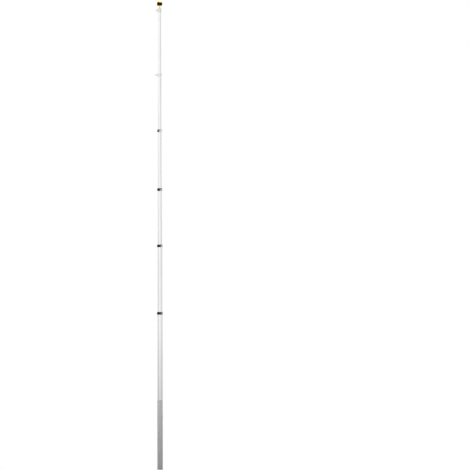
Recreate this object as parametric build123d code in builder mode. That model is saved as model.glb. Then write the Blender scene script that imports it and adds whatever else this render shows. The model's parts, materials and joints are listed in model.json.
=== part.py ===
import os
from math import sqrt

from build123d import *

os.makedirs("parts", exist_ok=True)

# A telescoping flagpole, drawn out to its full height: six aluminium tubes that slide into each other,
# a lock collar on the upper end of each tube but the top one, two swivelling flag rings and a gold ball.
# Millimetres. The pole's axis is Z, z = 0 is the underside of the foot, and the lower lug points to -X.

# Tubes: each fits inside the one below with the same gap
base_diameter = 70.0
wall = 1.6
tube_gap = 0.9
inner_tube_length = 1060.0
edge_break = 0.4

# Heights when drawn out: the base tube's end above the ground, then each tube's end above the one below
base_tube_top = 2073.0
second_reach = 890.0
third_reach = 743.0
fourth_reach = 776.0
fifth_reach = 739.0
top_reach = 875.0

# Fits
slide_clearance = 0.3
seat_clearance = 0.05
swivel_clearance = 0.3
overrun = 5.0

# Foot: a plug in the base tube, and a thin grey sleeve over the length that stands in the ground
foot_flange = 5.0
foot_spigot = 30.0
foot_spigot_wall = 3.0
foot_fillet = 1.5
sleeve_top = 920.0
sleeve_wall = 0.75
sleeve_chamfer = 0.4

# Guide feet: a moulded ring in the lower end of each sliding tube
guide_flange = 5.0
guide_spigot = 25.0
guide_spigot_wall = 2.5

# Lock collars: a fluted skirt over a tube's end, and a tapered neck round the tube that slides in it
collar_skirt = 25.0
collar_neck = 10.0
collar_wall = 4.0
collar_shoulder = 3.0
collar_lip = 2.0
collar_band = 5.0
collar_chamfer = 1.0
lip_fillet = 0.8
flute_count = 18
flute_radius = 3.5
flute_depth = 1.2

# Swivel rings: a plain ring with a tapered lug and an eye for a snap hook
ring_height = 27.0
ring_wall = 2.4
ring_play = 0.3
ring_fillet = 0.8
lug_reach = 38.0
lug_root_height = 24.0
lug_root_share = 0.5
lug_tip_radius = 9.5
lug_thickness = 8.0
lug_fillet = 1.5
eye_radius = 5.5

# Lower ring's bearing: the collar of the top joint, with a flange under the ring and a retainer over it
bearing_skirt = 28.0
bearing_neck = 12.0
bearing_wall = 1.5
bearing_flange = 6.0
bearing_flange_wall = 3.6
retainer_seat_wall = 2.2
retainer_chamfer = 0.8

# Upper ring: held between two stops on the top tube, and turned this many degrees from the lower one
upper_ring_drop = 34.0
upper_ring_turn = 37.0
stop_height = 8.0
stop_wall = 3.0
stop_chamfer = 0.8

# Top cap: a skirt over the tube's end, a hollow plug in it and a socket for the ball's stem
cap_flange = 4.0
cap_skirt_gap = 0.7
cap_skirt_wall = 1.2
cap_fillet = 1.6
cap_spigot = 22.0
cap_spigot_wall = 2.0
socket_wall = 2.0
socket_clearance = 0.15

# Finial: a ball of two spun shells on a stem with a barrel-shaped neck and a nylon tip
ball_diameter = 76.0
ball_shell = 1.0
seam_rise = 2.0
seam_groove = 0.5
neck_height = 14.7
neck_end_radius = 7.1
neck_bulge = 0.5
neck_insert = 8.0
neck_groove = 1.0
neck_groove_depth = 0.8
stem_radius = 6.0
stem_length = 36.0
tip_length = 17.0
tip_fillet = 1.5

# Worked out from the sizes above
radii = [base_diameter / 2 - step * (wall + tube_gap) for step in range(6)]
base_radius, second_radius, third_radius, fourth_radius, fifth_radius, top_radius = radii

second_end = base_tube_top + second_reach
third_end = second_end + third_reach
fourth_end = third_end + fourth_reach
fifth_end = fourth_end + fifth_reach
top_end = fifth_end + top_reach

bearing_radius = fifth_radius + bearing_wall
bearing_bottom = fifth_end - bearing_skirt + bearing_flange
bearing_top = bearing_bottom + ring_height + 2 * ring_play
retainer_seat_radius = top_radius + slide_clearance + retainer_seat_wall
flange_radius = fifth_radius + bearing_flange_wall

upper_ring_bottom = top_end - upper_ring_drop - ring_height / 2
upper_stop_bottom = upper_ring_bottom + ring_height + ring_play
lower_stop_bottom = upper_ring_bottom - ring_play - stop_height
cap_top = top_end + cap_flange
ball_radius = ball_diameter / 2
ball_centre = cap_top + neck_height + sqrt(ball_radius**2 - neck_end_radius**2)


def write(piece, node):
    piece.part.label = node
    export_step(piece.part, f"parts/{node}.step")


def outline(*points):
    """A closed outline of (radius, height) points, in a plane through the pole's axis."""
    with BuildSketch(Plane.XZ) as face:
        with BuildLine():
            Polyline(*points, close=True)
        make_face()
    return face.sketch


def make_tube(node, radius, bottom, top):
    with BuildPart() as tube:
        with BuildSketch(Plane.XY.offset(bottom)):
            Circle(radius)
            Circle(radius - wall, mode=Mode.SUBTRACT)
        extrude(amount=top - bottom)
        chamfer(tube.edges().filter_by(GeomType.CIRCLE), length=edge_break)
    write(tube, node)


def make_foot_plug():
    spigot_radius = base_radius - wall - seat_clearance
    hollow_radius = spigot_radius - foot_spigot_wall
    with BuildPart() as plug:
        profile = outline(
            (0, 0),
            (base_radius + seat_clearance + sleeve_wall, 0),
            (base_radius + seat_clearance + sleeve_wall, foot_flange),
            (spigot_radius, foot_flange),
            (spigot_radius, foot_flange + foot_spigot),
            (hollow_radius, foot_flange + foot_spigot),
            (hollow_radius, foot_flange),
            (0, foot_flange),
        )
        revolve(profile, axis=Axis.Z)
        fillet(plug.edges().group_by(Axis.Z)[0], radius=foot_fillet)
    write(plug, "foot_plug")


def make_ground_sleeve():
    bore = base_radius + seat_clearance
    with BuildPart() as sleeve:
        with BuildSketch(Plane.XY.offset(foot_flange)):
            Circle(bore + sleeve_wall)
            Circle(bore, mode=Mode.SUBTRACT)
        extrude(amount=sleeve_top - foot_flange)
        rim = sleeve.edges().group_by(Axis.Z)[-1].sort_by(SortBy.RADIUS)[-1]
        chamfer(rim, length=sleeve_chamfer)
    write(sleeve, "ground_sleeve")


def make_guide_foot(node, radius, outer_tube_radius, tube_bottom):
    """A ring under a sliding tube's lower end, guided by the bore of the tube outside it."""
    spigot_radius = radius - wall - seat_clearance
    bore = spigot_radius - guide_spigot_wall
    with BuildPart() as guide:
        profile = outline(
            (bore, tube_bottom - guide_flange),
            (outer_tube_radius - wall - slide_clearance, tube_bottom - guide_flange),
            (outer_tube_radius - wall - slide_clearance, tube_bottom),
            (spigot_radius, tube_bottom),
            (spigot_radius, tube_bottom + guide_spigot),
            (bore, tube_bottom + guide_spigot),
        )
        revolve(profile, axis=Axis.Z)
    write(guide, node)


def make_lock_collar(node, radius, inner_radius, tube_end):
    """A fluted collar that sits on a tube's end and closes round the sliding tube inside it."""
    seat_radius = radius + seat_clearance
    outer_radius = radius + collar_wall
    mouth_radius = inner_radius + slide_clearance
    lip_radius = mouth_radius + collar_lip
    bottom = tube_end - collar_skirt
    top = tube_end + collar_neck
    with BuildPart() as collar:
        profile = outline(
            (seat_radius, bottom),
            (outer_radius - collar_chamfer, bottom),
            (outer_radius, bottom + collar_chamfer),
            (outer_radius, tube_end + collar_shoulder),
            (lip_radius, top),
            (mouth_radius, top),
            (mouth_radius, tube_end),
            (seat_radius, tube_end),
        )
        revolve(profile, axis=Axis.Z)
        fillet(collar.edges().group_by(Axis.Z)[-1].sort_by(SortBy.RADIUS)[-1], radius=lip_fillet)
        with BuildSketch(Plane.XY.offset(bottom + collar_band)):
            with PolarLocations(outer_radius - flute_depth + flute_radius, flute_count):
                Circle(flute_radius)
        extrude(amount=top - bottom - collar_band, mode=Mode.SUBTRACT)
    write(collar, node)


def make_flag_ring_collar():
    """The top joint's collar, which is also the lower flag ring's bearing."""
    seat_radius = fifth_radius + seat_clearance
    mouth_radius = top_radius + slide_clearance
    bottom = fifth_end - bearing_skirt
    top = fifth_end + bearing_neck
    with BuildPart() as collar:
        profile = outline(
            (seat_radius, bottom),
            (flange_radius - retainer_chamfer, bottom),
            (flange_radius, bottom + retainer_chamfer),
            (flange_radius, bearing_bottom),
            (bearing_radius, bearing_bottom),
            (bearing_radius, bearing_top),
            (retainer_seat_radius, bearing_top),
            (retainer_seat_radius, top),
            (mouth_radius, top),
            (mouth_radius, fifth_end),
            (seat_radius, fifth_end),
        )
        revolve(profile, axis=Axis.Z)
    write(collar, "flag_ring_collar")


def make_ring(node, bore, outer_radius, bottom, height, rim_chamfer):
    """A plain ring with both outer rims chamfered."""
    with BuildPart() as ring:
        with BuildSketch(Plane.XY.offset(bottom)):
            Circle(outer_radius)
            Circle(bore, mode=Mode.SUBTRACT)
        extrude(amount=height)
        rims = ring.edges().filter_by(GeomType.CIRCLE).group_by(SortBy.RADIUS)[-1]
        chamfer(rims, length=rim_chamfer)
    write(ring, node)


def make_flag_ring(node, bearing, bottom, turn):
    """A swivelling ring with one flat lug, tapered to a round tip with an eye in it."""
    lug_plane = Plane.XZ.rotated((0, 0, turn))
    lug_axis = Axis(lug_plane.origin, lug_plane.x_dir)
    bore = bearing + swivel_clearance
    outer_radius = bore + ring_wall
    middle = bottom + ring_height / 2
    eye_reach = outer_radius + lug_reach - lug_tip_radius
    with BuildPart() as ring:
        with BuildSketch(lug_plane):
            with Locations((-eye_reach, middle)):
                Circle(lug_tip_radius)
            with Locations((-(bore + outer_radius) / 2, middle)):
                Rectangle(ring_wall * lug_root_share, lug_root_height)
            make_hull()
        extrude(amount=lug_thickness / 2, both=True)
        lug_edges = ring.faces().filter_by(lug_plane).edges()
        root_edges = ring.edges().group_by(lug_axis)[-1]
        fillet(lug_edges - root_edges, radius=lug_fillet)
        with BuildSketch(Plane.XY.offset(bottom)):
            Circle(outer_radius)
            Circle(bore, mode=Mode.SUBTRACT)
        extrude(amount=ring_height)
        rounds = ring.edges().filter_by(GeomType.CIRCLE)
        rims = rounds.filter_by(lambda edge: abs(edge.radius - outer_radius) < seat_clearance)
        fillet(rims.group_by(Axis.Z)[0] + rims.group_by(Axis.Z)[-1], radius=ring_fillet)
        with BuildSketch(lug_plane):
            with Locations((-eye_reach, middle)):
                Circle(eye_radius)
        extrude(amount=lug_thickness / 2 + overrun, both=True, mode=Mode.SUBTRACT)
    write(ring, node)


def make_top_cap():
    skirt_bore = top_radius + seat_clearance
    skirt_bottom = upper_stop_bottom + stop_height + cap_skirt_gap
    cap_radius = skirt_bore + cap_skirt_wall
    spigot_radius = top_radius - wall - seat_clearance
    socket_radius = stem_radius + socket_clearance
    socket_bottom = cap_top - stem_length - tip_length
    with BuildPart() as cap:
        profile = outline(
            (socket_radius, socket_bottom),
            (socket_radius + socket_wall, socket_bottom),
            (socket_radius + socket_wall, top_end),
            (spigot_radius - cap_spigot_wall, top_end),
            (spigot_radius - cap_spigot_wall, top_end - cap_spigot),
            (spigot_radius, top_end - cap_spigot),
            (spigot_radius, top_end),
            (skirt_bore, top_end),
            (skirt_bore, skirt_bottom),
            (cap_radius, skirt_bottom),
            (cap_radius, cap_top),
            (socket_radius, cap_top),
        )
        revolve(profile, axis=Axis.Z)
        fillet(cap.edges().group_by(Axis.Z)[-1].sort_by(SortBy.RADIUS)[-1], radius=cap_fillet)
    write(cap, "top_cap")


def make_finial():
    neck_top = cap_top + neck_height
    neck_bottom = cap_top + neck_groove
    neck_middle = (neck_bottom + neck_top) / 2
    stem_bottom = cap_top - stem_length
    groove_radius = neck_end_radius - neck_groove_depth
    with BuildPart() as stem:
        with BuildSketch(Plane.XZ):
            with BuildLine():
                Polyline(
                    (neck_end_radius, neck_top),
                    (neck_end_radius, neck_top + neck_insert),
                    (0, neck_top + neck_insert),
                    (0, stem_bottom),
                    (stem_radius, stem_bottom),
                    (stem_radius, cap_top),
                    (groove_radius, cap_top),
                    (groove_radius, neck_bottom),
                    (neck_end_radius, neck_bottom),
                )
                ThreePointArc(
                    (neck_end_radius, neck_bottom),
                    (neck_end_radius + neck_bulge, neck_middle),
                    (neck_end_radius, neck_top),
                )
            make_face()
        revolve(axis=Axis.Z)
    write(stem, "finial_stem")

    with BuildPart() as tip:
        with BuildSketch(Plane.XY.offset(stem_bottom)):
            Circle(stem_radius)
        extrude(amount=-tip_length)
        fillet(tip.edges().group_by(Axis.Z)[0], radius=tip_fillet)
    write(tip, "finial_tip")

    seam = Plane.XY.offset(ball_centre + seam_rise)
    for node, side in (("finial_ball_lower", Keep.BOTTOM), ("finial_ball_upper", Keep.TOP)):
        with BuildPart() as shell:
            with Locations((0, 0, ball_centre)):
                Sphere(ball_radius)
                Sphere(ball_radius - ball_shell, mode=Mode.SUBTRACT)
            split(bisect_by=seam, keep=side)
            rim = shell.faces().filter_by(Axis.Z).edges().sort_by(SortBy.RADIUS)[-1]
            chamfer(rim, length=seam_groove)
            if side == Keep.BOTTOM:
                with BuildSketch(Plane.XY.offset(cap_top)):
                    Circle(neck_end_radius + seat_clearance)
                extrude(amount=neck_height + neck_insert, mode=Mode.SUBTRACT)
        write(shell, node)


make_foot_plug()
make_ground_sleeve()
make_tube("base_tube", base_radius, foot_flange, base_tube_top)

sliding_tubes = (
    ("second", second_radius, base_radius, second_end),
    ("third", third_radius, second_radius, third_end),
    ("fourth", fourth_radius, third_radius, fourth_end),
    ("fifth", fifth_radius, fourth_radius, fifth_end),
    ("top", top_radius, fifth_radius, top_end),
)
for name, radius, outer_tube_radius, tube_end in sliding_tubes:
    tube_bottom = tube_end - inner_tube_length
    make_tube(f"{name}_tube", radius, tube_bottom, tube_end)
    make_guide_foot(f"{name}_guide_foot", radius, outer_tube_radius, tube_bottom)

lock_collars = (
    ("base", base_radius, second_radius, base_tube_top),
    ("second", second_radius, third_radius, second_end),
    ("third", third_radius, fourth_radius, third_end),
    ("fourth", fourth_radius, fifth_radius, fourth_end),
)
for name, radius, inner_radius, tube_end in lock_collars:
    make_lock_collar(f"{name}_lock_collar", radius, inner_radius, tube_end)

make_flag_ring_collar()
make_ring(
    "flag_ring_retainer",
    retainer_seat_radius + seat_clearance,
    flange_radius,
    bearing_top,
    fifth_end + bearing_neck - bearing_top,
    retainer_chamfer,
)
make_flag_ring("lower_flag_ring", bearing_radius, bearing_bottom + ring_play, 0)

stop_bore = top_radius + seat_clearance
stop_radius = top_radius + stop_wall
make_ring("upper_ring_top_stop", stop_bore, stop_radius, upper_stop_bottom, stop_height, stop_chamfer)
make_ring("upper_ring_bottom_stop", stop_bore, stop_radius, lower_stop_bottom, stop_height, stop_chamfer)
make_flag_ring("upper_flag_ring", top_radius, upper_ring_bottom, upper_ring_turn)

make_top_cap()
make_finial()
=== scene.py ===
import json
from math import asin, atan2, cos, hypot, pi, radians, sin, sqrt, tan, tau

import bmesh
import bpy
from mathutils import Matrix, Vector


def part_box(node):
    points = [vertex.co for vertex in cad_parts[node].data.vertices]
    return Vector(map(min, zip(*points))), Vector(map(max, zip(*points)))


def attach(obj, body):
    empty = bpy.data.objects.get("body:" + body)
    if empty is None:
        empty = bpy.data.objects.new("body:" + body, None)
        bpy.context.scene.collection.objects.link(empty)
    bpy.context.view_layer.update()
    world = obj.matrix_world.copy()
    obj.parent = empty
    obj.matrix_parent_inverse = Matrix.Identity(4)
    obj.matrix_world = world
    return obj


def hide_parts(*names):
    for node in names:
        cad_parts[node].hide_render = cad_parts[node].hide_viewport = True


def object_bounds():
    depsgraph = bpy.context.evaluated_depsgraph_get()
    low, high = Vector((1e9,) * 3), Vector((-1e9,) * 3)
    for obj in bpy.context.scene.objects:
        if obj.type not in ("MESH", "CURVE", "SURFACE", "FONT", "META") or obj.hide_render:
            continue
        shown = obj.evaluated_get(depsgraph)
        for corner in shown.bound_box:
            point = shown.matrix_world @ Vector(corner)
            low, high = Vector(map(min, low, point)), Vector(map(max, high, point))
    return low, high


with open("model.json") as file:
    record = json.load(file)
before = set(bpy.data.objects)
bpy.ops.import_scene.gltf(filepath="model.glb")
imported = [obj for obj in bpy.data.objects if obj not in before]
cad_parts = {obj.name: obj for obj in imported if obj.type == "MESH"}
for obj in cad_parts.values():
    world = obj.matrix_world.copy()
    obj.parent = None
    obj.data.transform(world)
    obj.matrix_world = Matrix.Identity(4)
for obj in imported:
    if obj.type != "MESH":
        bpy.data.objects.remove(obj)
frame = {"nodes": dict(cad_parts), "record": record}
cad_low, cad_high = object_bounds()

# A telescoping flagpole in a white studio: finer round meshes and finishes over the imported frame, with
# painted shade on the base tube and the sleeve.
# Metres. The pole's axis is Z, the foot stands on z = 0, and the camera looks along +Y.

mm = 0.001
origin = Vector((0, 0, 0))
white = (1.0, 1.0, 1.0, 1.0)

# Where the photograph shows the pole's two ends, in its pixels
photo_size = 470
foot_pixel = Vector((160.1, 469.7))
top_pixel = Vector((159.48, 0.7))
camera_distance = 14.0
view_depth = 4 * camera_distance

# Meshes
tube_segments = 128
ball_segments = 160
ball_steps = 48
corner_steps = 4
smooth_angle = radians(32)
merge_distance = mm / 1000
edge_round = 0.35 * mm
stop_round = 2 * edge_round

# Lock collars: the flutes and the plain band under them
flute_count = 18
flute_segments = 16
flute_radius = 3.5 * mm
flute_depth = 1.2 * mm
flute_lift = 2 * flute_depth
flute_round = 0.35 * mm
flute_margin = 0.1 * mm
collar_neck = 10.0 * mm
collar_shoulder = 3.0 * mm
collar_lip = 2.0 * mm
collar_band = 5.0 * mm
collar_round = 0.9 * mm
run_out = 2.5 * mm
row_height = 0.7 * mm

# Ball: two shells that meet in a fine groove above the middle
ball_shell = 1.0 * mm
seam_rise = 2.0 * mm
seam_groove = 0.35 * mm

# Grub screws in the upper ring's stops, with a six-sided socket
screw_radius = 2.0 * mm
screw_sink = 0.4 * mm
screw_length = 2.2 * mm
screw_segments = 48
bore_segments = 32
bore_overrun = 1.0 * mm
socket_sides = 6
socket_radius = 1.1 * mm
socket_depth = 1.2 * mm
screw_angles = (radians(-60), radians(60))

# The base tube has painted shade: darker at the sleeve, and lighter over this length
painted_shade_length = 0.95
painted_shade_tone = (0.755, 0.755, 0.765)


# Number helpers
def mix(first, second, share):
    return first + (second - first) * share


def ramp(value, low, high):
    """0 below one value, 1 above the other, and a straight way between them."""
    return min(max((value - low) / (high - low), 0.0), 1.0)


def soft_step(value, low, high):
    """The same with a smooth way between them."""
    t = ramp(value, low, high)
    return t * t * (3 - 2 * t)


def band(value, ends, fade):
    """1 between two ends and 0 outside them, with a soft change at each."""
    low, high = ends
    return soft_step(value, low - fade, low + fade) * (1 - soft_step(value, high - fade, high + fade))


# Mesh helpers
def radii_of(node):
    """The smallest and largest distance of a CAD node's points from the pole's axis."""
    distances = [hypot(v.co.x, v.co.y) for v in frame["nodes"][node].data.vertices]
    return min(distances), max(distances)


def heights_of(node):
    low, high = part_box(node)
    return low.z, high.z


def soften(points, reach):
    """Rounds each corner of a closed outline with a curve that starts this far from the corner."""
    points = [Vector(p) for p in points]
    rounded = []
    for index, corner in enumerate(points):
        before = points[index - 1]
        after = points[(index + 1) % len(points)]
        start = corner + (before - corner).normalized() * min(reach, (before - corner).length / 2)
        end = corner + (after - corner).normalized() * min(reach, (after - corner).length / 2)
        for step in range(corner_steps + 1):
            t = step / corner_steps
            rounded.append(start.lerp(corner, t).lerp(corner.lerp(end, t), t))
    return rounded


def wall_rows(node, reach):
    """The softened outline of a plain round wall, as rows of (radius, height)."""
    inner, outer = radii_of(node)
    bottom, top = heights_of(node)
    return soften(((inner, bottom), (outer, bottom), (outer, top), (inner, top)), reach)


def finish_mesh(name, mesh_data, material):
    bmesh.ops.remove_doubles(mesh_data, verts=mesh_data.verts, dist=merge_distance)
    bmesh.ops.dissolve_degenerate(mesh_data, edges=mesh_data.edges, dist=merge_distance)
    bmesh.ops.recalc_face_normals(mesh_data, faces=mesh_data.faces)
    mesh = bpy.data.meshes.new(name)
    mesh_data.to_mesh(mesh)
    mesh_data.free()
    mesh.shade_smooth()
    mesh.set_sharp_from_angle(angle=smooth_angle)
    mesh.materials.append(material)
    piece = bpy.data.objects.new(name, mesh)
    bpy.context.scene.collection.objects.link(piece)
    return piece


def turned(name, rows, segments, material, closed=True, radius_at=None):
    """A body of revolution: rows of (radius, height), which radius_at may change with the angle."""
    data = bmesh.new()
    rings = []
    for radius, height in rows:
        ring = []
        for index in range(segments):
            angle = tau * index / segments
            reach = radius_at(angle, radius, height) if radius_at else radius
            ring.append(data.verts.new((reach * cos(angle), reach * sin(angle), height)))
        rings.append(ring)
    pairs = list(zip(rings, rings[1:]))
    if closed:
        pairs.append((rings[-1], rings[0]))
    for lower, upper in pairs:
        for index in range(segments):
            after = (index + 1) % segments
            data.faces.new((lower[index], lower[after], upper[after], upper[index]))
    return finish_mesh(name, data, material)


def place(piece, body, slot, *nodes):
    """The piece rides on its body and stands for these CAD nodes, which it hides. The slot is not used."""
    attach(piece, body)
    if nodes:
        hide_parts(*nodes)
    return piece


# Material helpers
class Nodes:
    """A node tree, with its nodes made by short calls."""

    def __init__(self, tree):
        self.tree = tree

    def node(self, kind, inputs=(), **settings):
        made = self.tree.nodes.new(kind)
        for key, value in settings.items():
            setattr(made, key, value)
        for socket, value in dict(inputs).items():
            if isinstance(value, bpy.types.NodeSocket):
                self.tree.links.new(value, made.inputs[socket])
            else:
                made.inputs[socket].default_value = value
        return made

    def math(self, first, second, operation="ADD"):
        return self.node("ShaderNodeMath", {0: first, 1: second}, operation=operation).outputs[0]

    def span(self, value, source=(0.0, 1.0), target=(0.0, 1.0)):
        """A value moved from one span to another, and held at its ends."""
        ends = {"From Min": source[0], "From Max": source[1], "To Min": target[0], "To Max": target[1]}
        return self.node("ShaderNodeMapRange", {"Value": value, **ends}).outputs["Result"]


class Shader(Nodes):
    """One procedural material."""

    def __init__(self, name, **constants):
        self.material = bpy.data.materials.new(name)
        self.material.use_nodes = True
        super().__init__(self.material.node_tree)
        self.surface = self.tree.nodes["Principled BSDF"]
        self.place = self.node("ShaderNodeTexCoord").outputs["Object"]
        for socket, value in constants.items():
            self.surface.inputs[socket.replace("_", " ")].default_value = value

    def noise(self, cells, detail=4.0, roughness=0.55):
        """Noise with this many cells to the metre along X, Y and Z."""
        spot = self.node("ShaderNodeMapping", {"Vector": self.place, "Scale": cells}).outputs["Vector"]
        kind = {"Scale": 1.0, "Detail": detail, "Roughness": roughness}
        return self.node("ShaderNodeTexNoise", {"Vector": spot, **kind}).outputs["Fac"]

    def height(self, low, high):
        """0 at one height on the pole and 1 at the other."""
        z = self.node("ShaderNodeSeparateXYZ", {"Vector": self.place}).outputs["Z"]
        return self.span(z, source=(low, high))

    def colours(self, value, *stops):
        made = self.node("ShaderNodeValToRGB", {"Fac": value})
        stop_list = made.color_ramp.elements
        while len(stop_list) < len(stops):
            stop_list.new(1.0)
        for element, (position, colour) in zip(stop_list, stops):
            element.position = position
            element.color = (*colour, 1.0)
        return made.outputs["Color"]

    def blend(self, share, first, second, kind="MIX"):
        inputs = {0: share, 6: first, 7: second}
        return self.node("ShaderNodeMix", inputs, data_type="RGBA", blend_type=kind).outputs[2]

    def bump(self, height, strength, distance, under=None):
        inputs = {"Height": height, "Strength": strength, "Distance": distance}
        if under:
            inputs["Normal"] = under
        return self.node("ShaderNodeBump", inputs).outputs["Normal"]

    def feed(self, **links):
        for socket, value in links.items():
            self.tree.links.new(value, self.surface.inputs[socket.replace("_", " ")])
        return self.material


# Finishes
def tube_finish(name, painted_shade=None):
    """Satin anodised aluminium: drawing lines and slide marks run lengthwise, with a soft cloud over them."""
    pale, paler, scuffed = (0.91, 0.911, 0.914), (0.94, 0.941, 0.943), (0.66, 0.67, 0.69, 1.0)
    shader = Shader(name, Metallic=0.9)
    lines = shader.noise(cells=(900, 900, 5), detail=3.0)
    marks = shader.noise(cells=(260, 260, 1.6), detail=6.0, roughness=0.7)
    cloud = shader.noise(cells=(14, 14, 5), detail=3.0)
    scuffs = shader.span(marks, source=(0.60, 0.70))
    colour = shader.colours(cloud, (0.3, pale), (0.7, paler))
    colour = shader.blend(shader.span(scuffs, target=(0.0, 0.12)), colour, scuffed)
    # Painted shade: the colour is darker at the low end of the given heights and clears up towards the high
    # end
    if painted_shade:
        shaded = shader.colours(shader.height(*painted_shade), (0.0, painted_shade_tone), (1.0, white[:3]))
        colour = shader.blend(1.0, colour, shaded, kind="MULTIPLY")
    satin = shader.span(lines, source=(0.3, 0.7), target=(0.25, 0.35))
    rough = shader.math(satin, shader.span(scuffs, target=(0.0, 0.08)))
    fine = shader.bump(lines, strength=0.12, distance=0.1 * mm)
    normal = shader.bump(marks, strength=0.06, distance=0.2 * mm, under=fine)
    return shader.feed(Base_Color=colour, Roughness=rough, Normal=normal)


def sleeve_finish(low, high):
    """Matte grey sleeve with painted shade, darker towards the foot, with a fine grain and rubbed patches."""
    shaded_foot_tone, top_tone = (0.345, 0.345, 0.348), (0.515, 0.515, 0.52)
    dim, bright = (0.94, 0.94, 0.94), (1.05, 1.05, 1.05)
    shader = Shader("sleeve_matte_grey")
    grain = shader.noise(cells=(1400, 1400, 900), detail=2.0)
    rubbed = shader.noise(cells=(40, 40, 7), detail=5.0, roughness=0.65)
    # Painted shade: the colour darkens from the sleeve's top down to the foot
    colour = shader.colours(shader.height(low, high), (0.0, shaded_foot_tone), (1.0, top_tone))
    patches = shader.colours(rubbed, (0.35, dim), (0.65, bright))
    colour = shader.blend(1.0, colour, patches, kind="MULTIPLY")
    rough = shader.span(rubbed, source=(0.3, 0.7), target=(0.74, 0.60))
    worn = shader.bump(rubbed, strength=0.08, distance=0.4 * mm)
    normal = shader.bump(grain, strength=0.15, distance=0.2 * mm, under=worn)
    return shader.feed(Base_Color=colour, Roughness=rough, Normal=normal)


def collar_finish():
    """Satin black moulding: a fine texture, and ridges polished by hands."""
    black, handled_black, ridge = (0.008, 0.008, 0.009), (0.013, 0.013, 0.014), (0.022, 0.022, 0.023, 1.0)
    shader = Shader("collar_satin_black", Specular_IOR_Level=0.22)
    texture = shader.noise(cells=(2200, 2200, 2200), detail=2.0)
    handled = shader.noise(cells=(90, 90, 90), detail=4.0)
    pointed = shader.node("ShaderNodeNewGeometry").outputs["Pointiness"]
    edges = shader.span(pointed, source=(0.5, 0.6))
    colour = shader.colours(handled, (0.35, black), (0.7, handled_black))
    colour = shader.blend(shader.span(edges, target=(0.0, 0.4)), colour, ridge)
    rough = shader.span(handled, source=(0.3, 0.7), target=(0.22, 0.34))
    normal = shader.bump(texture, strength=0.1, distance=0.08 * mm)
    return shader.feed(Base_Color=colour, Roughness=rough, Normal=normal)


def ring_finish():
    """Light grey moulding with flow marks and a fine texture."""
    dark, light = (0.77, 0.775, 0.78), (0.83, 0.835, 0.84)
    shader = Shader("ring_light_grey")
    flow = shader.noise(cells=(60, 60, 150), detail=4.0)
    texture = shader.noise(cells=(1800, 1800, 1800), detail=2.0)
    colour = shader.colours(flow, (0.35, dark), (0.65, light))
    rough = shader.span(flow, source=(0.3, 0.7), target=(0.40, 0.52))
    normal = shader.bump(texture, strength=0.08, distance=0.08 * mm)
    return shader.feed(Base_Color=colour, Roughness=rough, Normal=normal)


def nylon_finish():
    """Natural nylon, slightly yellowed and cloudy."""
    yellowed, clean = (0.80, 0.80, 0.75), (0.87, 0.87, 0.84)
    shader = Shader("nylon_natural_white", Subsurface_Weight=0.15, Subsurface_Scale=2 * mm)
    cloud = shader.noise(cells=(120, 120, 120), detail=4.0)
    colour = shader.colours(cloud, (0.35, yellowed), (0.65, clean))
    rough = shader.span(cloud, source=(0.3, 0.7), target=(0.42, 0.55))
    normal = shader.bump(cloud, strength=0.05, distance=0.2 * mm)
    return shader.feed(Base_Color=colour, Roughness=rough, Normal=normal)


def gold_finish():
    """Polished gold anodising with spinning lines round it and fine hair scratches."""
    deep, bright = (0.80, 0.50, 0.075), (0.88, 0.59, 0.12)
    shader = Shader("gold_polished", Metallic=1.0)
    spun = shader.noise(cells=(30, 30, 2600), detail=3.0)
    haze = shader.noise(cells=(70, 70, 70), detail=5.0, roughness=0.6)
    hairs = shader.noise(cells=(1500, 240, 900), detail=6.0, roughness=0.75)
    colour = shader.colours(haze, (0.3, deep), (0.7, bright))
    polish = shader.span(haze, source=(0.35, 0.7), target=(0.05, 0.10))
    rough = shader.math(polish, shader.span(hairs, source=(0.62, 0.72), target=(0.0, 0.08)))
    normal = shader.bump(spun, strength=0.03, distance=0.03 * mm)
    return shader.feed(Base_Color=colour, Roughness=rough, Normal=normal)


def screw_finish():
    """Blackened steel, rubbed bright in places."""
    blackened, rubbed_bright = (0.10, 0.10, 0.105), (0.34, 0.34, 0.35)
    shader = Shader("screw_black_steel", Metallic=1.0)
    rubbed = shader.noise(cells=(900, 900, 900), detail=3.0)
    colour = shader.colours(rubbed, (0.4, blackened), (0.7, rubbed_bright))
    rough = shader.span(rubbed, source=(0.3, 0.7), target=(0.28, 0.45))
    return shader.feed(Base_Color=colour, Roughness=rough)


# Tubes and sleeve
def make_tube(node, body, material):
    wall = turned(f"{node}_wall", wall_rows(node, edge_round), tube_segments, material)
    place(wall, body, "tube_aluminium", node)


def make_sleeve(material):
    skin = turned("ground_sleeve_skin", wall_rows("ground_sleeve", edge_round), tube_segments, material)
    place(skin, "base", "sleeve_grey", "ground_sleeve")


# Lock collars
def flute_cut(angle, outer):
    """How far out the nearest flute leaves the collar standing at this angle."""
    pitch = tau / flute_count
    offset = (angle + pitch / 2) % pitch - pitch / 2
    centre = outer - flute_depth + flute_radius
    across = centre * sin(offset)
    if abs(across) >= flute_radius:
        return outer + flute_depth
    return centre * cos(offset) - sqrt(flute_radius**2 - across**2)


def smooth_least(first, second, reach):
    """The smaller of two lengths, with the corner where they cross rounded."""
    gap = max(reach - abs(first - second), 0.0) / reach
    return min(first, second) - gap * gap * reach / 4


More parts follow.
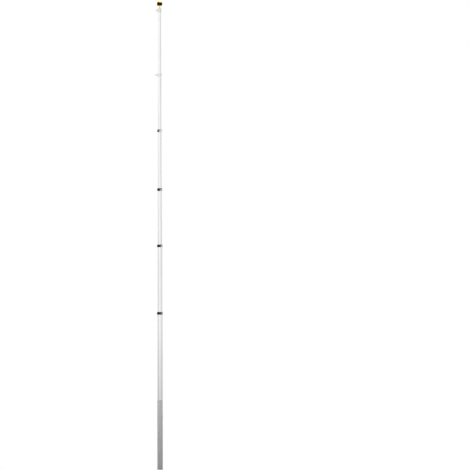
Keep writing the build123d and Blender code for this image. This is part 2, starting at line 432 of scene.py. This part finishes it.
def make_lock_collar(node, body, material):
    mouth, outer = radii_of(node)
    bottom, top = heights_of(node)
    tube_end = top - collar_neck
    seat = radii_of(f"{node.split('_')[0]}_tube")[1]
    lip = mouth + collar_lip
    corners = (
        (seat, bottom),
        (outer, bottom),
        (outer, tube_end + collar_shoulder),
        (lip, top),
        (mouth, top),
        (mouth, tube_end),
        (seat, tube_end),
    )
    rounded = soften(corners, collar_round)
    rows = []
    for point, after in zip(rounded, rounded[1:] + rounded[:1]):
        outside = point.x > mouth + collar_lip / 2
        steps = max(1, round((after - point).length / row_height)) if outside else 1
        rows += [point.lerp(after, step / steps) for step in range(steps)]

    def fluted(angle, radius, height):
        if radius < seat + flute_margin and height < tube_end or radius < mouth + flute_margin:
            return radius
        fade = ramp(height, bottom + collar_band, bottom + collar_band + run_out)
        cut = flute_cut(angle, outer) + (1 - fade) * flute_lift
        return smooth_least(radius, cut, flute_round)

    collar = turned(f"{node}_moulding", rows, flute_count * flute_segments, material, radius_at=fluted)
    place(collar, body, "collar_black", node)


# Upper ring's stops, each with two grub screws
def make_screw(name, outer, middle, angle, body, material):
    """A grub screw with a six-sided socket, its face a little under the stop's rim."""
    face = outer - screw_sink
    profile = (
        (0, face - socket_depth),
        (socket_radius, face - socket_depth),
        (socket_radius, face),
        (screw_radius - edge_round, face),
        (screw_radius, face - edge_round),
        (screw_radius, face - screw_length),
        (0, face - screw_length),
    )
    half_side = pi / socket_sides

    def six_sided(turn, radius, height):
        if radius != socket_radius:
            return radius
        return radius * cos(half_side) / cos(turn % (2 * half_side) - half_side)

    screw = turned(name, profile, screw_segments, material, closed=False, radius_at=six_sided)
    screw.rotation_euler = (0, pi / 2, angle)
    screw.location = (0, 0, middle)
    place(screw, body, None)


def cut_bore(stop, inner, outer, middle, angle, material):
    """Takes a screw's bore out of a stop."""
    end = outer + bore_overrun
    profile = ((0, inner), (screw_radius, inner), (screw_radius, end), (0, end))
    bore = turned("bore", profile, bore_segments, material, closed=False)
    bore.rotation_euler = (0, pi / 2, angle)
    bore.location = (0, 0, middle)
    cut = stop.modifiers.new("bore", "BOOLEAN")
    cut.operation = "DIFFERENCE"
    cut.solver = "EXACT"
    cut.object = bore
    bpy.context.view_layer.update()
    shaped = bpy.data.meshes.new_from_object(stop.evaluated_get(bpy.context.evaluated_depsgraph_get()))
    stop.modifiers.clear()
    stop.data = shaped
    bpy.data.objects.remove(bore)


def make_stop(node, body, material, screw_material):
    inner, outer = radii_of(node)
    bottom, top = heights_of(node)
    middle = (bottom + top) / 2
    stop = turned(f"{node}_ring", wall_rows(node, stop_round), tube_segments, material)
    for number, angle in enumerate(screw_angles):
        cut_bore(stop, inner, outer, middle, angle, material)
        make_screw(f"{node}_screw_{number}", outer, middle, angle, body, screw_material)
    stop.data.shade_smooth()
    stop.data.set_sharp_from_angle(angle=smooth_angle)
    place(stop, body, "ring_grey", node)


# Finial ball
def make_ball_shell(node, body, material, centre, radius, end_angle, side):
    """A spun shell from a latitude to the seam, which it lies over (side 1) or under (side -1).
    Its outer edge at the seam is broken by a small chamfer."""
    inner = radius - ball_shell

    def arc(size, first, last):
        turns = [mix(first, last, step / ball_steps) for step in range(ball_steps + 1)]
        return [(size * cos(turn), centre + size * sin(turn)) for turn in turns]

    edge = asin((seam_rise + side * seam_groove) / radius)
    lip = asin(seam_rise / inner)
    rim = (sqrt(radius**2 - seam_rise**2) - seam_groove, centre + seam_rise)
    rows = arc(radius, end_angle, edge) + [rim] + arc(inner, lip, end_angle)
    shell = turned(f"{node}_shell", rows, ball_segments, material)
    place(shell, body, "gold", node)


def make_ball(material):
    """The two shells, which meet in the fine groove of the seam."""
    low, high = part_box("finial_ball_upper")
    radius = high.x
    centre = high.z - radius
    neck = radii_of("finial_ball_lower")[0]
    hole = -atan2(sqrt(radius**2 - neck**2), neck)
    make_ball_shell("finial_ball_lower", "top_section", material, centre, radius, hole, -1)
    make_ball_shell("finial_ball_upper", "top_section", material, centre, radius, pi / 2, 1)


# Build the pole
tube = tube_finish("tube_satin_aluminium")
sleeve_low, sleeve_high = heights_of("ground_sleeve")
# The base tube gets painted shade, darker towards the sleeve
base_tube = tube_finish("base_tube_aluminium_painted_shade", painted_shade=(sleeve_high, sleeve_high + painted_shade_length))
sleeve = sleeve_finish(sleeve_low, sleeve_high)
black = collar_finish()
grey = ring_finish()
nylon = nylon_finish()
gold = gold_finish()
steel = screw_finish()

make_tube("base_tube", "base", base_tube)
make_sleeve(sleeve)
for section in ("second", "third", "fourth", "fifth", "top"):
    make_tube(f"{section}_tube", f"{section}_section", tube)
for section in ("base", "second", "third", "fourth"):
    body = "base" if section == "base" else f"{section}_section"
    make_lock_collar(f"{section}_lock_collar", body, black)
for stop in ("upper_ring_top_stop", "upper_ring_bottom_stop"):
    make_stop(stop, "top_section", grey, steel)
make_ball(gold)

# CAD nodes that stay as they are, with a real finish
finishes = {"sleeve_grey": sleeve, "ring_grey": grey, "nylon_white": nylon, "gold": gold}
for subpart in frame["record"]["subparts"]:
    node = frame["nodes"][subpart["node"]]
    if not node.hide_render:
        node.data.materials.clear()
        node.data.materials.append(finishes[subpart["material_slot"]])

# Stage: the floor, which shows grey under the horizon
floor_size = 200.0
floor_tone = (0.86, 0.86, 0.86, 1.0)
floor_glow = 0.4
floor_look = 0.556
horizon = (-0.04, -0.03)
world_light = (0.62, 0.62, 0.62, 1.0)

# Stage: softboxes, as name, place from the pole's middle, size and power
softboxes = (
    ("softbox_left", (-4.0, -5.0, 1.5), (4.0, 6.0), 170.0),
    ("softbox_right", (5.0, -1.5, 0.5), (2.0, 6.0), 60.0),
)

# Stage: the grey right side of the black collars is sheen, wider on the upper ones.
# Each has a lamp of its own, as section, the angle where its sheen starts and its brightness.
# All angles of the stage are in degrees, from the camera's side towards +X.
collar_sheens = (("base", 60, 16.0), ("second", 46, 26.0), ("third", 28, 23.0), ("fourth", -14, 42.0))
sheen_end = 112
sheen_distance = 2.0
sheen_height = 2.0

# Stage: cards round the pole, where the white surroundings go softly to a light grey
card_step = 2.0
card_distance = 5.0
card_top = 7.0
card_steps = 70
card_fade = 6.0
low_level = 3.4
high_level = 5.0
level_fade = 0.15
right_ends = (28, 172)
right_side = (35, 120)
right_back = (120, 165)
right_tone = 0.74
right_high_tone = 0.64
right_back_tone = 0.60
left_ends = (-122, -34)
left_side = (-115, -40)
left_tone = 0.70
left_high_tone = 0.86

# Stage: cards for the ball, with heights from its middle: dark round it but for its back,
# where the light comes from, and bright over it and under it. The dark draws in from the right
# as it goes up, by dark_lean degrees for each metre.
ball_walls = (("left", (-124, -20)), ("front", (-20, 20)), ("right", (20, 160)), ("back", (160, 236)))
wall_distance = 0.8
wall_low = -0.039
wall_high = 2.6
wall_fade = 2.2
wall_steps = 120
dark_ends = (-117, 166)
dark_lean = 105.0
dark_fade = 7.0
dark_tone = 0.012
back_tone = 1.7
all_round = (-180, 180)
low_ends = (-124, 174)
low_reaches = (0.022, 0.04, 0.06, 0.08, 0.1, 0.13, 0.16, 0.2, 0.4, wall_distance)
low_fade = (0.04, 0.2)
low_tone = 0.07
neck_reaches = (0.012, 0.022)
neck_height = wall_low + mm / 2
neck_tone = 2.5
under_reaches = (0.025, wall_distance)
under_height = wall_low - mm
under_tone = 0.9
over_ends = (0.001, 2.0)
over_rise = 0.05
over_height = wall_high + over_rise
over_steps = 12
over_fade = (0.7, 1.6)
over_tone = 5.0


# Stage helpers
def add_plane(name, size, material):
    data = bmesh.new()
    bmesh.ops.create_grid(data, x_segments=1, y_segments=1, size=size / 2)
    mesh = bpy.data.meshes.new(name)
    data.to_mesh(mesh)
    data.free()
    plane = bpy.data.objects.new(name, mesh)
    mesh.materials.append(material)
    bpy.context.scene.collection.objects.link(plane)
    return plane


def add_light(name, location, target, size, power):
    lamp = bpy.data.lights.new(name, "AREA")
    lamp.shape = "RECTANGLE"
    lamp.size, lamp.size_y = size
    lamp.energy = power
    light = bpy.data.objects.new(name, lamp)
    light.location = location
    light.rotation_euler = (target - location).to_track_quat("-Z", "Y").to_euler()
    bpy.context.scene.collection.objects.link(light)
    return light


def add_sheen(node, piece, angles, brightness):
    """A softbox that shows as sheen on one collar alone, between these angles."""
    low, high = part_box(node)
    middle, half = radians(sum(angles) / 2), radians(angles[1] - angles[0]) / 2
    target = Vector((0, 0, (low.z + high.z) / 2))
    width = 2 * sheen_distance * tan(half)
    power = brightness * pi * width * sheen_height
    spot = target + Vector((sin(middle), -cos(middle), 0)) * sheen_distance
    lamp = add_light(f"sheen_{node}", spot, target, (width, sheen_height), power)
    lamp.visible_diffuse = False
    lit = bpy.data.collections.new(f"sheen_{node}")
    lit.objects.link(bpy.data.objects[piece])
    lamp.light_linking.receiver_collection = lit


def add_card(name, centre, outline, angles, glow):
    """A card bent round a point along rows of (distance, height), seen in reflections alone.
    Its brightness at an angle, distance and height comes from glow."""
    shader = Shader(name)
    level = shader.node("ShaderNodeAttribute", attribute_name="glow").outputs["Fac"]
    light = shader.node("ShaderNodeEmission", {"Strength": level})
    output = shader.tree.nodes["Material Output"]
    shader.tree.links.new(light.outputs[0], output.inputs["Surface"])
    data = bmesh.new()
    layer = data.verts.layers.float.new("glow")
    steps = round((angles[1] - angles[0]) / card_step)
    columns = []
    for step in range(steps + 1):
        angle = mix(*angles, step / steps)
        away = Vector((sin(radians(angle)), -cos(radians(angle)), 0))
        column = []
        for reach, height in outline:
            corner = data.verts.new(centre + away * reach + Vector((0, 0, height)))
            corner[layer] = glow(angle, reach, height)
            column.append(corner)
        columns.append(column)
    for left, right in zip(columns, columns[1:]):
        for row in range(len(outline) - 1):
            data.faces.new((left[row], right[row], right[row + 1], left[row + 1]))
    card = finish_mesh(name, data, shader.material)
    for ray in ("camera", "diffuse", "transmission", "volume_scatter", "shadow"):
        setattr(card, f"visible_{ray}", False)


# Brightness of the cards
def above(height, level):
    return soft_step(height, level - level_fade, level + level_fade)


def right_glow(angle, reach, height):
    tone = mix(right_tone, right_high_tone, above(height, high_level))
    side = band(angle, right_side, card_fade) * (1 - tone)
    back = band(angle, right_back, card_fade) * (1 - right_back_tone) * (1 - above(height, low_level))
    return 1 - side - back


def left_glow(angle, reach, height):
    tone = mix(left_tone, left_high_tone, above(height, low_level))
    side = band(angle, left_side, card_fade) * (1 - tone)
    return 1 - side * (1 - above(height, high_level))


def wall_glow(angle, reach, height):
    first, last = dark_ends
    last -= dark_lean * max(height, 0)
    dark = band((angle + 180) % 360 - 180, (first, last), dark_fade)
    return mix(back_tone, dark_tone, dark * (1 - soft_step(height, wall_fade, wall_high)))


def low_glow(angle, reach, height):
    return mix(low_tone, wall_glow(angle, reach, height), soft_step(reach, *low_fade))


def neck_glow(angle, reach, height):
    return neck_tone


def under_glow(angle, reach, height):
    return under_tone


def over_glow(angle, reach, height):
    return mix(over_tone, back_tone, soft_step(reach, *over_fade))


# Floor: it adds a glow to reflections, and the softboxes leave it alone
floor = Shader("floor_white", Roughness=0.9, Base_Color=floor_tone, Emission_Color=white)
rays = floor.node("ShaderNodeLightPath").outputs
mirrored = floor.math(rays["Is Glossy Ray"], rays["Is Transmission Ray"], operation="MAXIMUM")
floor.feed(Emission_Strength=floor.math(mirrored, floor_glow, operation="MULTIPLY"))
unlit = bpy.data.collections.new("unlit_by_softboxes")
unlit.objects.link(add_plane("floor", floor_size, floor.material))
unlit.collection_objects[0].light_linking.link_state = "EXCLUDE"

# Lamps
half_height = (cad_high.z - cad_low.z) / 2
pole_middle = Vector((0, 0, half_height))
for name, offset, size, power in softboxes:
    lamp = add_light(name, pole_middle + Vector(offset), pole_middle, size, power)
    lamp.visible_glossy = False
    lamp.light_linking.receiver_collection = unlit
for section, first_angle, brightness in collar_sheens:
    collar = f"{section}_lock_collar"
    add_sheen(collar, f"{collar}_moulding", (first_angle, sheen_end), brightness)

# Cards round the pole
rows = [(card_distance, card_top * step / card_steps) for step in range(card_steps + 1)]
add_card("card_right", origin, rows, right_ends, right_glow)
add_card("card_left", origin, rows, left_ends, left_glow)

# Cards round, under and over the ball
ball_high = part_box("finial_ball_upper")[1]
ball_middle = Vector((0, 0, ball_high.z - ball_high.x))
rows = [(wall_distance, mix(wall_low, wall_high, step / wall_steps)) for step in range(wall_steps + 1)]
for name, ends in ball_walls:
    add_card(f"card_ball_{name}", ball_middle, rows, ends, wall_glow)
add_card("card_ball_low", ball_middle, [(reach, wall_low) for reach in low_reaches], low_ends, low_glow)
add_card("card_neck", ball_middle, [(reach, neck_height) for reach in neck_reaches], all_round, neck_glow)
add_card("card_under", ball_middle, [(reach, under_height) for reach in under_reaches], all_round, under_glow)
reaches = [mix(*over_ends, step / over_steps) for step in range(over_steps + 1)]
add_card("card_over", ball_middle, [(reach, over_height) for reach in reaches], all_round, over_glow)

# White surroundings for the camera and for reflections, and a plainer light
world = bpy.data.worlds.new("studio")
bpy.context.scene.world = world
world.use_nodes = True
world.node_tree.nodes.clear()
sky = Nodes(world.node_tree)
way = sky.node("ShaderNodeTexCoord").outputs["Generated"]
rise = sky.node("ShaderNodeSeparateXYZ", {"Vector": way}).outputs["Z"]
look = sky.span(rise, source=horizon, target=(floor_look, 1.0))
seen = sky.node("ShaderNodeBackground", {"Color": white, "Strength": look})
light = sky.node("ShaderNodeBackground", {"Color": world_light})
rays = sky.node("ShaderNodeLightPath").outputs
direct = rays["Is Camera Ray"]
for ray in ("Is Glossy Ray", "Is Transmission Ray"):
    direct = sky.math(direct, rays[ray], operation="MAXIMUM")
mixed = sky.node("ShaderNodeMixShader", {0: direct, 1: light.outputs[0], 2: seen.outputs[0]})
sky.node("ShaderNodeOutputWorld", {"Surface": mixed.outputs[0]})

# Camera: straight on and without perspective, as in the photograph
span = foot_pixel - top_pixel
pixel = (cad_high.z - cad_low.z) / span.length
middle_pixel = (foot_pixel + top_pixel) / 2
camera_data = bpy.data.cameras.new("camera")
camera_data.type = "ORTHO"
camera_data.ortho_scale = photo_size * pixel
camera = bpy.data.objects.new("camera", camera_data)
camera.location = (
    (photo_size / 2 - middle_pixel.x) * pixel,
    -camera_distance,
    half_height + (middle_pixel.y - photo_size / 2) * pixel,
)
camera.rotation_euler = (pi / 2, atan2(span.x, span.y), 0)
camera_data.clip_end = view_depth
bpy.context.scene.collection.objects.link(camera)
bpy.context.scene.camera = camera
bpy.context.scene.view_settings.view_transform = "Standard"
